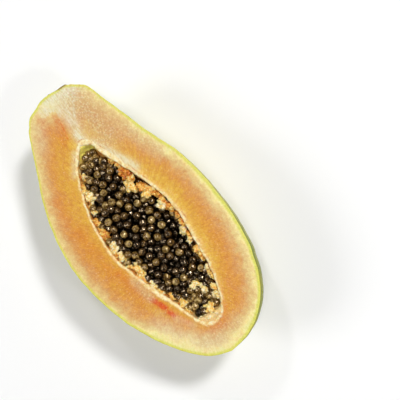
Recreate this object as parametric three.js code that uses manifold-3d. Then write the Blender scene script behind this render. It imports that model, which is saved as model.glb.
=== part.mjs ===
// Half of a ripe papaya, lying on its skin with the cut face up and its seeds in the cavity.
//
// Millimetres. +Z is up, square to the cut face. +X runs from the stem end to the blossom end,
// and the origin is on the surface below the middle of the fruit.
// The fruit and its cavity are both built as hulls, like a boat's: a rim curve on either side,
// with half ellipses hung between them.

import * as THREE from 'three';
import { ParametricGeometry } from 'three/addons/geometries/ParametricGeometry.js';
import { mergeGeometries, mergeVertices } from 'three/addons/utils/BufferGeometryUtils.js';
import Module from 'manifold-3d';

const wasm = await Module();
wasm.setup();

// ---- driving dimensions ----

const CUT_HEIGHT = 54;          // the cut face above the surface that the half lies on
const REST_FLAT = 1.2;          // how much of the round belly the small resting flat takes off
const LOBE_HEIGHT = 0.5;        // the fruit's five soft lengthwise ridges
const SIDE_BULGE = 3.2;         // the +Y side swells a little below its rim

// Rim of the cut face, [x, y], from the middle of the stalk's scar to the blossom end.
const FRUIT_RIGHT = [
  [-110.6, 13], [-109.8, 19.3], [-106, 24.9], [-100.4, 30.6], [-96, 33], [-86.5, 35.2], [-69, 40.2],
  [-43, 47.2], [-18, 55], [11, 58.2], [43, 57.2], [66, 52.5], [85.5, 44.2], [101, 30.8],
  [109.8, 14], [112, -1.5],
];
const FRUIT_LEFT = [
  [-110.6, 13], [-111.9, 6], [-112, -1.1], [-110.6, -8.5], [-107.6, -15.5], [-92, -26.8], [-75.4, -34.9],
  [-49, -47.8], [-24, -55.2], [5, -58.2], [37, -54], [60, -46.8], [80, -37], [97, -25.3],
  [107.5, -13.4], [112, -1.5],
];

// Rim of the seed cavity, in the same order.
const CAVITY_RIGHT = [
  [-67.5, 1], [-64, 7.6], [-54, 10.4], [-39, 16], [-22.6, 21.7], [-5.6, 26.5],
  [11, 27.9], [37, 24.7], [57.7, 21.8], [77.6, 14.6], [86, 8.4], [88, 1],
];
const CAVITY_LEFT = [
  [-67.5, 1], [-64, -2.8], [-54.3, -11], [-41.5, -17.8], [-22, -24.6], [-5.1, -27],
  [9, -28.2], [36, -21.4], [57, -14.4], [76, -9], [84.5, -4.8], [88, 1],
];
const CAVITY_ROUNDNESS = 1;     // depth of the cavity over half its width

// Lumps of pulp left on the cavity's wall, round from the +Y side's stem end: [x, y, length, width].
const PULP_LUMPS = [
  [-33.5, 15.5, 15, 7], [-24, 12, 10, 9], [-12.5, 19.5, 8, 12], [-6, 24.5, 5, 5], [1.5, 22.5, 7, 9],
  [8, 26, 6, 5], [25, 23, 7, 6], [33, 22.5, 6, 7], [42, 22.5, 7, 6], [56, 20.5, 5, 4],
  [71.5, 14, 8, 8], [67, 9.5, 10, 6], [60.5, 7, 9, 6], [81, 7, 8, 7], [84.5, 0.5, 8, 7],
  [65, -9.5, 8, 6], [42, -18.5, 10, 4], [27.5, -21, 15, 7], [12.5, -24.5, 9, 7], [2.5, -24.5, 9, 7],
  [-7, -24, 10, 6], [-34, -17.5, 12, 7],
];
const LUMP_HEIGHT = 7;
const LUMP_DROP = 0.6;          // a lump's top below the cut face

const SEED_SIZE = [5.8, 5.6, 5.3];
const SEED_COUNT = 56;          // the loose seeds on top of the heap
const SEED_SPACING = 6.2;       // least distance between two of their centres
const SEED_LEVEL = 5.6;         // their centres below the cut face, along the middle of the cavity
const SEED_SLOPE = 0.11;        // the heap is lower towards +Y
const SEED_SCATTER = 0.9;       // how far a seed stands above or below the heap's slope
const GAP = 0.45;               // clear space between a seed and what is beside it
const BED_GAP = 0.8;            // clear space between the bed of seeds and the cavity's wall
const WALL_CLEARANCE = 1.2;     // a seed's least distance from the corners of the cavity's wall

// Dips in the heap of seeds: [x, y, length, width, depth].
const HEAP_DIPS = [
  [25, 18, 62, 17, 4.5], [-66, 3, 18, 30, 5], [-34, 14, 30, 14, 3], [14, 2, 20, 12, 1.8],
  [62, 12, 20, 12, 2], [-12, -8, 16, 12, 1.6],
];

const BED_DROP = 1.6;           // the bed's surface below the centres of the loose seeds
const HALF_SUNK_TRIES = 9000;   // throws of a seed that sticks half out of the bed
const HALF_SUNK_DROP = [0.2, 3.6];  // such a seed's centre below those of the loose seeds
const HALF_SUNK_SPACING = 4.9;  // least distance between two of them
const AIR_SIZE = [190, 90, 40]; // the block that is cut away above the bed
const AIR_CELL = 3.2;           // grid of its lower side

const FRUIT_ROWS = 48;          // grid of the skin: along the fruit, and around it
const FRUIT_TURNS = 22;
const CAVITY_ROWS = 30;
const CAVITY_TURNS = 10;
const COLLAR = 6;               // how far the cavity's cutting body stands out of the cut face
const LUMP_FACETS = [7, 5];     // round a lump and from pole to pole
const SEED_FACETS = [9, 6];
const WALL_SAMPLES = [81, 25];  // points of the cavity's wall: along it, and across

const COLORS = { fruit: 0xe6b46c, seed: 0x2f2a1e, bed: 0x3a3324 };

// ---- helpers ----

// A closed geometry as a solid that can be joined and cut.
function solidOf(geometry) {
  const bare = new THREE.BufferGeometry();
  bare.setAttribute('position', geometry.getAttribute('position'));
  bare.setIndex(geometry.index);
  const merged = mergeVertices(bare, 1e-4);
  const triangles = [];
  for (let i = 0; i < merged.index.count; i += 3) {
    const [a, b, c] = [0, 1, 2].map((k) => merged.index.getX(i + k));
    if (a !== b && b !== c && c !== a) triangles.push(a, b, c);
  }
  return new wasm.Manifold(new wasm.Mesh({
    numProp: 3,
    vertProperties: merged.getAttribute('position').array,
    triVerts: Uint32Array.from(triangles),
  }));
}

function geometryOf(solid) {
  const mesh = solid.getMesh();
  const geometry = new THREE.BufferGeometry();
  geometry.setAttribute('position', new THREE.BufferAttribute(mesh.vertProperties, 3));
  geometry.setIndex(new THREE.BufferAttribute(mesh.triVerts, 1));
  geometry.computeVertexNormals();
  return geometry;
}

// Repeatable random numbers from 0 to 1.
let randomState = 7;
function random() {
  randomState = (randomState * 1664525 + 1013904223) % 4294967296;
  return randomState / 4294967296;
}

const between = (low, high) => low + (high - low) * random();

function rimCurve(points) {
  return new THREE.CatmullRomCurve3(points.map(([x, y]) => new THREE.Vector3(x, y, CUT_HEIGHT)));
}

// A closed hull: section(right, left, v) is the point at v from 0 to 1 of the section hung between
// two rim points, and a flat lid joins the section's two ends.
function hull(rightPoints, leftPoints, section, rows, turns) {
  const right = rimCurve(rightPoints);
  const left = rimCurve(leftPoints);
  const along = (u) => [right.getPoint(u), left.getPoint(u)];
  const skin = new ParametricGeometry((u, v, target) => {
    target.copy(section(...along(u), v, u));
  }, rows, turns);
  const lid = new ParametricGeometry((u, v, target) => {
    const [a, b] = along(u);
    target.lerpVectors(section(a, b, 1, u), section(a, b, 0, u), v);
  }, rows, 1);
  return solidOf(mergeGeometries([skin, lid]));
}

// Half an ellipse from the right rim point, down and round to the left one.
function halfEllipse(right, left, turn, depth) {
  const middle = new THREE.Vector3().lerpVectors(right, left, 0.5);
  const side = new THREE.Vector3().subVectors(right, middle);
  const point = middle.addScaledVector(side, Math.cos(turn));
  point.z -= depth * Math.sin(turn);
  return point;
}

// ---- the fruit ----

const widest = Math.max(...FRUIT_RIGHT.map(([x, y], i) => {
  const [leftX, leftY] = FRUIT_LEFT[i];
  return Math.hypot(x - leftX, y - leftY) / 2;
}));

function fruitSection(right, left, v, u) {
  const turn = Math.PI * v;
  const halfWidth = right.distanceTo(left) / 2;
  const fullness = halfWidth / widest;
  const point = halfEllipse(right, left, turn, (CUT_HEIGHT + REST_FLAT) * fullness);
  const ridge = LOBE_HEIGHT * fullness * Math.sin(turn) * (Math.cos(5 * (turn - Math.PI / 2)) - 1);
  const bulge = turn < Math.PI / 2 ? SIDE_BULGE * Math.sin(2 * turn) * Math.sin(Math.PI * u ** 2) : 0;
  point.y += ridge * Math.cos(turn) + bulge;
  point.z = Math.max(point.z - ridge * Math.sin(turn), 0);
  return point;
}

// The cavity's cutting body stands out of the cut face on a straight collar.
function cavitySection(right, left, v) {
  const step = v * (CAVITY_TURNS + 2) - 1;
  const turn = Math.PI * THREE.MathUtils.clamp(step / CAVITY_TURNS, 0, 1);
  const point = halfEllipse(right, left, turn, CAVITY_ROUNDNESS * right.distanceTo(left) / 2);
  if (step < 0 || step > CAVITY_TURNS) point.z += COLLAR;
  return point;
}

const cavity = hull(CAVITY_RIGHT, CAVITY_LEFT, cavitySection, CAVITY_ROWS, CAVITY_TURNS + 2);

// An ellipsoid of pulp, grown by margin on every side.
function lump([x, y, length, width], margin) {
  const ball = new THREE.SphereGeometry(0.5, ...LUMP_FACETS);
  ball.scale(length + 2 * margin, width + 2 * margin, LUMP_HEIGHT + 2 * margin);
  ball.translate(x, y, CUT_HEIGHT - LUMP_DROP - LUMP_HEIGHT / 2);
  return solidOf(ball);
}

function papayaHalf() {
  const whole = hull(FRUIT_RIGHT, FRUIT_LEFT, fruitSection, FRUIT_ROWS, FRUIT_TURNS);
  const hollow = whole.subtract(cavity);
  return PULP_LUMPS.reduce((fruit, place) => fruit.add(lump(place, 0)), hollow);
}

// ---- the seeds ----

// Height of the loose seeds' centres at a place on the heap.
function heapLevel(x, y) {
  const dips = HEAP_DIPS.map(([dipX, dipY, length, width, depth]) => {
    const reach = Math.hypot((x - dipX) / length, (y - dipY) / width) * 2;
    return reach < 1 ? depth * (1 + Math.cos(Math.PI * reach)) / 2 : 0;
  });
  return CUT_HEIGHT - SEED_LEVEL - SEED_SLOPE * y - Math.max(...dips);
}

// Sections across the cavity as pairs of rim points, its rim as a closed outline, and points all
// over its wall.
const [pairCount, turnCount] = WALL_SAMPLES;
const rightRim = rimCurve(CAVITY_RIGHT).getPoints(pairCount - 1);
const leftRim = rimCurve(CAVITY_LEFT).getPoints(pairCount - 1);
const cavityRim = [...rightRim, ...leftRim.toReversed()];
const cavityWall = rightRim.flatMap((right, i) => {
  const turns = Array.from({ length: turnCount }, (_, j) => j / (turnCount - 1));
  return turns.map((v) => cavitySection(right, leftRim[i], v));
});
const cavityBox = new THREE.Box3().setFromPoints(cavityRim);

function insideRim(x, y) {
  const crossings = cavityRim.filter((a, i) => {
    const b = cavityRim[(i + 1) % cavityRim.length];
    return (a.y > y) !== (b.y > y) && x < a.x + (b.x - a.x) * (y - a.y) / (b.y - a.y);
  });
  return crossings.length % 2 === 1;
}

const clearOf = (others, place, distance) => others.every((other) => other.distanceTo(place) > distance);

// The wall slopes inward everywhere, so its nearest point is lower than a place in the cavity.
function inCavity(place, margin) {
  const distances = cavityWall.map((wall) => wall.distanceTo(place));
  const least = Math.min(...distances);
  return least > margin && cavityWall[distances.indexOf(least)].z < place.z;
}

function clearOfLumps({ x, y }, margin) {
  return PULP_LUMPS.every(([lumpX, lumpY, length, width]) => {
    return Math.hypot((x - lumpX) / (length / 2 + margin), (y - lumpY) / (width / 2 + margin)) > 1;
  });
}

// A seed thrown anywhere in the cavity's rim, between two heights over the heap's level, or
// nothing where it would be in the wall or the pulp.
function throwSeed(low, high) {
  const { min, max } = cavityBox;
  const [x, y] = [between(min.x, max.x), between(min.y, max.y)];
  const place = new THREE.Vector3(x, y, heapLevel(x, y) + between(low, high));
  const radius = SEED_SIZE[0] / 2;
  const fits = insideRim(x, y) && inCavity(place, radius + WALL_CLEARANCE);
  return fits && clearOfLumps(place, radius + GAP) ? place : null;
}

// Loose seeds lie where they fall, no closer to each other than their spacing.
function loosePlaces() {
  const places = [];
  while (places.length < SEED_COUNT) {
    const place = throwSeed(-SEED_SCATTER, SEED_SCATTER);
    if (place && clearOf(places, place, SEED_SPACING)) places.push(place);
  }
  return places.sort((a, b) => a.x - b.x);
}

// Seeds that stick half out of the bed, as many as find room between the loose ones.
function halfSunkPlaces(loose) {
  const places = [];
  const [shallow, deep] = HALF_SUNK_DROP;
  for (let i = 0; i < HALF_SUNK_TRIES; i++) {
    const place = throwSeed(-deep, -shallow);
    const fits = place && clearOf(loose, place, SEED_SIZE[0] + GAP);
    if (fits && clearOf(places, place, HALF_SUNK_SPACING)) places.push(place);
  }
  return places;
}

const turned = (position) => ({
  position,
  rotation: new THREE.Euler(between(0, Math.PI), between(0, Math.PI), between(0, Math.PI)),
});
const seeds = loosePlaces().map(turned);
const halfSunk = halfSunkPlaces(seeds.map(({ position }) => position)).map(turned);

function seedGeometry(margin) {
  const ball = new THREE.SphereGeometry(0.5, ...SEED_FACETS);
  return ball.scale(...SEED_SIZE.map((size) => size + 2 * margin));
}

function placedSeed({ position, rotation }, margin) {
  const seed = seedGeometry(margin);
  seed.applyMatrix4(new THREE.Matrix4().makeRotationFromEuler(rotation));
  seed.translate(...position.toArray());
  return solidOf(seed);
}

// The cavity's shape with a clear gap to its wall.
function shrunkCavity() {
  const centre = cavityBox.getCenter(new THREE.Vector3());
  const half = cavityBox.getSize(new THREE.Vector3()).multiplyScalar(0.5);
  half.z = CAVITY_ROUNDNESS * half.y;
  const shrink = half.toArray().map((size) => 1 - BED_GAP / size);
  const shrunk = geometryOf(cavity)
    .translate(...centre.clone().negate().toArray())
    .scale(...shrink)
    .translate(...centre.toArray());
  return solidOf(shrunk);
}

// A block whose lower side follows the bed's surface.
function airOverBed() {
  const [length, width, height] = AIR_SIZE;
  const cells = [length, width].map((size) => Math.round(size / AIR_CELL));
  const block = new THREE.BoxGeometry(length, width, height, ...cells, 1);
  block.translate(cavityBox.getCenter(new THREE.Vector3()).x, 0, CUT_HEIGHT + height / 2);
  const points = block.getAttribute('position');
  for (let i = 0; i < points.count; i++) {
    if (points.getZ(i) > CUT_HEIGHT + height / 2) continue;
    points.setZ(i, heapLevel(points.getX(i), points.getY(i)) - BED_DROP);
  }
  return solidOf(block);
}

// What lies under and between the loose seeds: the cavity's shape, lumpy on top, with a socket
// round every loose seed and every lump of pulp.
function seedBed() {
  const base = shrunkCavity().subtract(airOverBed());
  const lumpy = halfSunk.reduce((bed, seed) => bed.add(placedSeed(seed, 0)), base);
  const clearOfPulp = PULP_LUMPS.reduce((bed, place) => bed.subtract(lump(place, GAP)), lumpy);
  return seeds.reduce((bed, seed) => bed.subtract(placedSeed(seed, GAP)), clearOfPulp);
}

// ---- assembly ----

const papaya = new THREE.Group();

function addPiece(name, geometry, material) {
  const mesh = new THREE.Mesh(geometry, material);
  mesh.name = name;
  papaya.add(mesh);
  return mesh;
}

const matt = (color) => new THREE.MeshStandardMaterial({ color, roughness: 0.6, metalness: 0 });
const glossy = (color) => new THREE.MeshStandardMaterial({ color, roughness: 0.25, metalness: 0 });

addPiece('papaya_half', geometryOf(papayaHalf()), matt(COLORS.fruit));
addPiece('seed_bed', geometryOf(seedBed()), matt(COLORS.bed));
seeds.forEach(({ position, rotation }, i) => {
  const name = `seed_${String(i + 1).padStart(2, '0')}`;
  const seed = addPiece(name, seedGeometry(0), glossy(COLORS.seed));
  seed.position.copy(position);
  seed.rotation.copy(rotation);
});

export default papaya;
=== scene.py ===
import math

import bmesh
import bpy
import numpy as np
from mathutils import Euler, Matrix, Vector, noise
from mathutils.bvhtree import BVHTree


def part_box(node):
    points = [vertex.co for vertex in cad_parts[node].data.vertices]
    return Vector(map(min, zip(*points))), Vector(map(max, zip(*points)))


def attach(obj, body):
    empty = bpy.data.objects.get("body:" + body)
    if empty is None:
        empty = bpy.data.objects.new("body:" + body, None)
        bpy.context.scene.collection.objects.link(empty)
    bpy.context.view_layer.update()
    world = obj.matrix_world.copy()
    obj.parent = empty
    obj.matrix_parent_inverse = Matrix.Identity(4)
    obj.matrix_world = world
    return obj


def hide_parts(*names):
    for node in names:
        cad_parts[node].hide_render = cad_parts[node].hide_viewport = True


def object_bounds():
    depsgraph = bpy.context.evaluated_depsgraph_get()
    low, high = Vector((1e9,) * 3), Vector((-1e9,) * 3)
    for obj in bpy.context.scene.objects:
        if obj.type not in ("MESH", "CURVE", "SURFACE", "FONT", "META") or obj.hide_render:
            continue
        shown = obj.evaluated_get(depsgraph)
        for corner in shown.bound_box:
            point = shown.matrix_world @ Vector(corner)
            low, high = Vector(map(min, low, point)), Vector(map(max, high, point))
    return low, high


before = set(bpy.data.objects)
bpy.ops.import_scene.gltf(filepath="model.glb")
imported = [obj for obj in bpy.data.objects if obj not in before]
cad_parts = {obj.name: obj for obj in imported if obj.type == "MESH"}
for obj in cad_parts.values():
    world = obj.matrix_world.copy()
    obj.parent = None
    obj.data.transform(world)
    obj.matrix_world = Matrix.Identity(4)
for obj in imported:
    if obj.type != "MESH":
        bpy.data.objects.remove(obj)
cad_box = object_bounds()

# Half of a ripe papaya on its skin, cut face up, with its seeds. Metres, +Z up. +X runs from the
# stem end to the blossom end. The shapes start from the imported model: the two rims of the cut
# face, the depth of the fruit and of its cavity, and the places of the named seeds.

MM = 0.001

# ---- sizes ----

TOP = cad_box[1][2]               # height of the cut face
SCAR = Vector((-110.6, 13, 0)) * MM  # the middle of the stalk's scar
SCAR_RADIUS = 6.8 * MM
ROWS = 360                        # stations along each side of a rim
SKIN_TURNS = 84                   # steps round the skin, from rim to rim
WALL_TURNS = 34                   # the same round the cavity's wall
FACE_RINGS = 56                   # rings of points across the cut face
RIM_END = 12                      # stations at either end of a rim that fade its unevenness
FAR = 30.0                        # stands for any distance too far from an edge to matter
RIM_LENGTH = 480                  # of the skin's rim, once round, in millimetres
CURVE_STEPS = 12                  # from point to point of a rim, when it is made smooth
WELD = 2e-6                       # points closer than this are one
FLAT = 1e-5                       # a face no further below the top than this is in the cut face
OUTSIDE = 10 * MM                 # clear of the fruit, below it and above it
EDGE = 0.35 * MM                  # rounding where the knife left the skin
LIP = 1.0 * MM                    # rounding where the flesh turns down into the cavity
LOBE_HEIGHT = 0.5 * MM
SIDE_BULGE = 1.9 * MM             # the fruit is widest a little below the cut on its +Y side
BULGE_WAY = (0.62, 0.78)          # the x and y of that bulge's direction

# Flats and corners of the rim near the stem: x, y, reach, and the shift in x and y, in millimetres.
STEM_KNOBS = [(-106.5, -9.5, 4.5, 1.2, 0.8), (-97.5, -20.5, 5, -0.7, -0.8), (-110, 1, 3, 0.5, 0)]

SEED_SIZE = 5.9 * MM
SEED_DRAWS = 5                    # start of the seeds' random numbers
# The least and the most length, width and height of a seed, over SEED_SIZE.
NAMED_SIZES = [1.0, 0.9, 0.87], [1.1, 0.97, 0.94]
HEAP_SIZES = [0.98, 0.88, 0.86], [1.1, 0.98, 0.95]
TOUCHING = 0.97                   # distance of two touching seeds over SEED_SIZE
NAMED_CLEARANCE = 0.62            # the same for a rough place that a named seed has taken
SEED_LAYERS = 3
LAYER_STEP = 0.75                 # from layer to layer, over SEED_SIZE
ROW_STEP = 0.87                   # from row to row, over the step within a row
PLACE_SCATTER = 1.1 * MM
PACKING_PASSES = 80
TOP_LAYER_GAPS = 0.42             # share of the top layer's seeds left out
CROWDED_END = (48, 56)            # the x between which those gaps close up, in millimetres
VISIBLE_SEEDS = 150               # the highest of the unnamed seeds have a finer mesh
HEAP_RELIEF = 2.4 * MM            # small hills and hollows of the heap
SEED_LEVEL = 5.6                  # the top seeds' centres below the cut face, in millimetres
SEED_SLOPE = 0.11                 # the heap is lower towards +Y
HEAP_DROP = 1 * MM                # the other seeds' centres below the top seeds'
SEED_SHADE_DEPTH = 3.2                 # millimetres over which deeper seeds are painted quite dark, as painted shade in the heap
BLACK_SEED = (77, -4.4)           # place of one glossy black seed, in millimetres
BLACK_SEED_RISE = 0.8 * MM        # its centre above the top seeds'

# Dips in the heap of seeds, in millimetres: x, y, length, width, depth.
HEAP_DIPS = [
    (25, 18, 62, 17, 4.5), (-66, 3, 18, 30, 5), (-34, 14, 30, 14, 3), (14, 2, 20, 12, 1.8),
    (62, 12, 20, 12, 2), (-12, -8, 16, 12, 1.6),
]

# Lumps of pulp on the cavity's wall: x, y, length, width, and how orange it is from 0 to 1.
PULP_LUMPS = [
    (-33.5, 15, 17, 9, 0.9), (-23.5, 12, 12, 10, 0.4), (-12.5, 19.5, 9, 12, 0.45),
    (-6, 24.5, 5, 5, 0.8), (1.5, 22.5, 7, 9, 0.15), (8, 26, 6, 5, 0.6), (25, 23, 7, 6, 0.1),
    (33, 22.5, 6, 7, 0.15), (42, 22.5, 7, 6, 0.5), (56, 20.5, 5, 4, 0.2), (74, 13.5, 7, 8, 0.15),
    (66, 8.5, 8, 4, 0.15), (60, 4.5, 5.5, 6, 0.15), (79, 4, 9, 9, 0.4), (84, -2, 7, 8, 0.05),
    (65, -9.5, 8, 6, 0.4), (42, -18.5, 10, 4, 0.2), (27.5, -21, 15, 7, 0.4),
    (12.5, -24.5, 9, 7, 0.2), (2.5, -24.5, 9, 7, 0.1), (-7, -24, 10, 6, 0.9),
    (-36, -17, 14, 8, 0.2),
]
# Small shreds of the lining between them, in the same order.
SHREDS = [
    (-46, 12.5, 8, 4, 0.7), (-40, 15, 8, 5, 0.6), (-28, 15.5, 7, 6, 0.6), (-18, 17.5, 8, 7, 0.75),
    (-9, 23, 6, 6, 0.7), (-2, 24.5, 7, 5, 0.7), (5, 25, 6, 5, 0.8), (14, 26.5, 8, 3, 0.8),
    (20, 25.5, 6, 4, 0.6), (29, 24, 5, 4, 0.7), (47, 22, 8, 3, 0.6), (62, 19.5, 8, 3, 0.5),
    (70, 15.5, 6, 4, 0.3), (85, 5, 4, 5, 0.3), (-50, -11, 8, 3, 0.3), (-42, -15.5, 8, 3, 0.5),
    (-27, -20.5, 9, 5, 0.35), (-18, -23.5, 8, 4, 0.7), (-12, -25, 7, 4, 0.6), (7, -26, 8, 4, 0.3),
    (18, -24, 8, 4, 0.4), (34, -20.5, 8, 4, 0.5), (49, -16.5, 8, 3, 0.4), (57, -13, 8, 4, 0.5),
    (72, -9.5, 8, 3, 0.4), (82, -6, 5, 4, 0.2),
]
LUMP_HEIGHT = 7 * MM
LUMP_DROP = 0.6 * MM              # a lump's top below the cut face
GRAIN_SIZE = 1.7 * MM
PULP_VOXEL = 0.42 * MM            # fineness of the pulp's mesh
PULP_DRAWS = 11                   # start of the pulp's random numbers

# ---- colour on the cut face ----

# Strokes, in millimetres: a line of x, y points, reach, strength.
STROKES = {
    "blush": [
        ([(49, -25), (56.5, -22.2), (64, -20), (69, -18.5)], 2.5, 1.35),
        ([(70, -17.5), (78, -14)], 2.4, 0.7), ([(22, -33), (46, -27)], 6, 0.6),
        ([(-20, -38), (18, -36)], 6, 0.4), ([(92, -3), (93, 3)], 4, 0.6),
        ([(84, 14), (92, 6)], 3.5, 0.5), ([(24, 33), (50, 30)], 3, 0.12),
        ([(58, 33), (84, 22)], 5, 0.2), ([(-50, -38), (-30, -42)], 6, 0.22),
        ([(20, 38), (60, 34)], 5, 0.2), ([(-96, 0), (-87, -3), (-76, -7)], 3, 0.4),
        ([(-93, 1.3), (-86.7, -0.3), (-78, -2.4)], 0.8, 0.9), ([(-97, 24), (-94, 23)], 2.6, 0.5),
        ([(-102, -9), (-92, -12)], 4.5, 0.28),
    ],
    "core": [
        ([(-109, 3), (-106, 11), (-104, 20)], 7.5, 1.0), ([(-104, -3), (-98, 4)], 5, 0.8),
        ([(-98, 10), (-84, 7.5), (-72, 5)], 4.5, 0.8),
        ([(-105, 23), (-94, 15.6), (-82, 7.9), (-72, 3)], 1.3, 0.9),
        ([(-76, 4.5), (-66, 7)], 3.2, 1.0),
        ([(-66, 8), (-55, 14), (-44, 19), (-31, 24)], 3.4, 0.8),
        ([(-66, -5), (-54, -15)], 2.6, 0.5),
    ],
    "moist": [
        ([(-98, 20), (-62, 22)], 11, 1.0), ([(-60, 34), (-30, 44)], 6, 0.5),
        ([(32, -27), (48, -25)], 3.5, 0.9), ([(96, -12), (98, 12)], 6, 0.5),
    ],
    "pale": [
        ([(66, -31), (85, -23), (97, -13), (103, -4)], 6.5, 0.4),
        ([(70, -20), (82, -12)], 3, 0.35), ([(-96, -14), (-84, -22)], 5, 0.35),
    ],
    "cork": [([(-113.5, 7), (-110, 15), (-109.5, 20)], 0.8, 0.9)],
    "wide_lip": [
        ([(-68, 5), (-58, 11), (-42, 16)], 5, 1.0), ([(83, -6), (86, -4)], 4, 0.5),
        ([(-68, -1), (-56, -10)], 4, 0.7), ([(40, -20), (52, -16)], 4, 0.8),
    ],
}
# The crisp edge of the pale core by the stem: the flesh on its -Y side is ripe.
CORE_EDGE = [(-100, 2.8), (-98.5, 2.6), (-93.7, 1.7), (-86.7, 0), (-78.2, -2), (-69.8, -2.9)]
LIP_WIDTH = 2.8                   # of the pale lip round the cavity, in millimetres

# ---- camera, floor and sky ----

PHOTO_SIDE = 400                  # pixels
LENS = 85
SENSOR = 36
PIXEL_AT_FACE = 0.696 * MM        # size of a pixel on the cut face at the picture's centre
VIEW_TILT = math.radians(11)      # between the line of sight and the cut face's normal
LONG_AXIS_TURN = math.radians(51.5)  # of the fruit's length below the picture's horizontal
AIM = Vector((16.4, 45.7, 54)) * MM  # the point of the cut face's plane at the picture's centre
FLOOR_REACH = 3.0                 # from the middle to each side
HORIZON_LIGHT = 0.6
OVERHEAD_LIGHT = 0.012
SKY_FADE = 0.5                    # the sine of the height from which the sky is dark


# ---- helpers: shapes ----

def smooth_step(low, high, value):
    t = np.clip((np.asarray(value, float) - low) / (high - low), 0, 1)
    return t * t * (3 - 2 * t)


def rings_of_cut_face(node):
    """The closed rings of points round the node's flat top face, the longest first."""
    shape = bmesh.new()
    shape.from_mesh(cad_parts[node].data)
    bmesh.ops.remove_doubles(shape, verts=shape.verts, dist=WELD / 2)
    top = max(v.co.z for v in shape.verts) - FLAT
    on_top = {f for f in shape.faces if all(v.co.z > top for v in f.verts)}
    links = {}
    for edge in shape.edges:
        if sum(face in on_top for face in edge.link_faces) == 1:
            for here, there in (edge.verts, reversed(edge.verts)):
                links.setdefault(here, []).append(there)
    rings = []
    while links:
        here = next(iter(links))
        ring = []
        while here in links:
            ring.append(here.co.copy())
            here = next((v for v in links.pop(here) if v in links), None)
        rings.append(np.array(ring))
    shape.free()
    return sorted(rings, key=len, reverse=True)


def resample(points, count):
    """count + 1 points evenly along a smooth curve through the given ones."""
    points = np.asarray(points, float)
    ends = (2 * points[:1] - points[1:2], 2 * points[-1:] - points[-2:-1])
    knots = np.vstack((ends[0], points, ends[1]))
    t = np.linspace(0, 1, CURVE_STEPS, endpoint=False)[:, None]
    pieces = []
    for a, b, c, d in zip(knots, knots[1:], knots[2:], knots[3:]):
        pieces.append(0.5 * (2 * b + (c - a) * t + (2 * a - 5 * b + 4 * c - d) * t ** 2
                             + (3 * b - a - 3 * c + d) * t ** 3))
    fine = np.vstack(pieces + [points[-1:]])
    lengths = np.r_[0, np.cumsum(np.linalg.norm(np.diff(fine, axis=0), axis=1))]
    stations = np.linspace(0, lengths[-1], count + 1)
    return np.stack([np.interp(stations, lengths, fine[:, k]) for k in range(3)], 1)


def two_sides(ring, start, end):
    """The ring's +Y and -Y sides, each as ROWS + 1 points from the start to the end point."""
    first = np.argmin(np.linalg.norm(ring - np.array(start), axis=1))
    ring = np.roll(ring, -first, axis=0)
    last = np.argmin(np.linalg.norm(ring - np.array(end), axis=1))
    one = ring[:last + 1]
    other = np.vstack((ring[last:], ring[:1]))[::-1]
    if one[:, 1].mean() < other[:, 1].mean():
        one, other = other, one
    return resample(one, ROWS), resample(other, ROWS)


def blur(values, reach):
    """The values smoothed over this many neighbours to either side. The two ends stay."""
    weights = np.hanning(2 * reach + 3)[1:-1]
    before = 2 * values[0] - values[reach:0:-1]
    after = 2 * values[-1] - values[-2:-reach - 2:-1]
    return np.convolve(np.r_[before, values, after], weights / weights.sum(), "valid")


def half_ellipses(right, left, depth, turns):
    """Grid of points, rows by turns: half ellipses hung between the two rims."""
    middle = (right + left)[:, None] / 2
    side = (right - left)[:, None] / 2
    turns = np.asarray(turns)[None, :, None]
    down = np.array([0, 0, -1.0]) * np.asarray(depth)[:, None, None]
    return middle + side * np.cos(turns) + down * np.sin(turns)


def relief(points, size, octaves=3, seed=0):
    """Fractal noise of about -1 to 1 at each point; size is the bumps' size in metres, and
    each seed gives another pattern."""
    shift = Vector((seed * 17.3, seed * 5.1, seed * 9.7))
    flat = np.asarray(points).reshape(-1, 3)
    values = [noise.fractal(Vector(p) / size + shift, 0.7, 2.1, octaves) for p in flat]
    return np.array(values).reshape(np.asarray(points).shape[:-1])


def grid_normals(grid):
    along = np.gradient(grid, axis=0)
    across = np.gradient(grid, axis=1)
    normals = np.cross(along, across)
    return normals / np.maximum(np.linalg.norm(normals, axis=-1, keepdims=True), 1e-12)


def grid_faces(rows, columns, first=0):
    return [(first + i * columns + j, first + i * columns + j + 1,
             first + (i + 1) * columns + j + 1, first + (i + 1) * columns + j)
            for i in range(rows - 1) for j in range(columns - 1)]


def add_object(name, mesh, replaced=()):
    mesh.polygons.foreach_set("use_smooth", [True] * len(mesh.polygons))
    piece = bpy.data.objects.new(name, mesh)
    bpy.context.scene.collection.objects.link(piece)
    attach(piece, "root")
    if replaced:
        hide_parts(*replaced)
    return piece


def set_attribute(mesh, name, values, kind="FLOAT"):
    attribute = mesh.attributes.new(name, kind, "POINT")
    attribute.data.foreach_set("vector" if kind == "FLOAT_VECTOR" else "value",
                               np.asarray(values, np.float32).ravel())


# ---- helpers: materials ----

def color(code):
    """A colour written as six hexadecimal digits, as linear red, green, blue and alpha."""
    parts = [int(code[i:i + 2], 16) / 255 for i in (0, 2, 4)]
    return [p / 12.92 if p <= 0.04045 else ((p + 0.055) / 1.055) ** 2.4 for p in parts] + [1]


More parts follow.
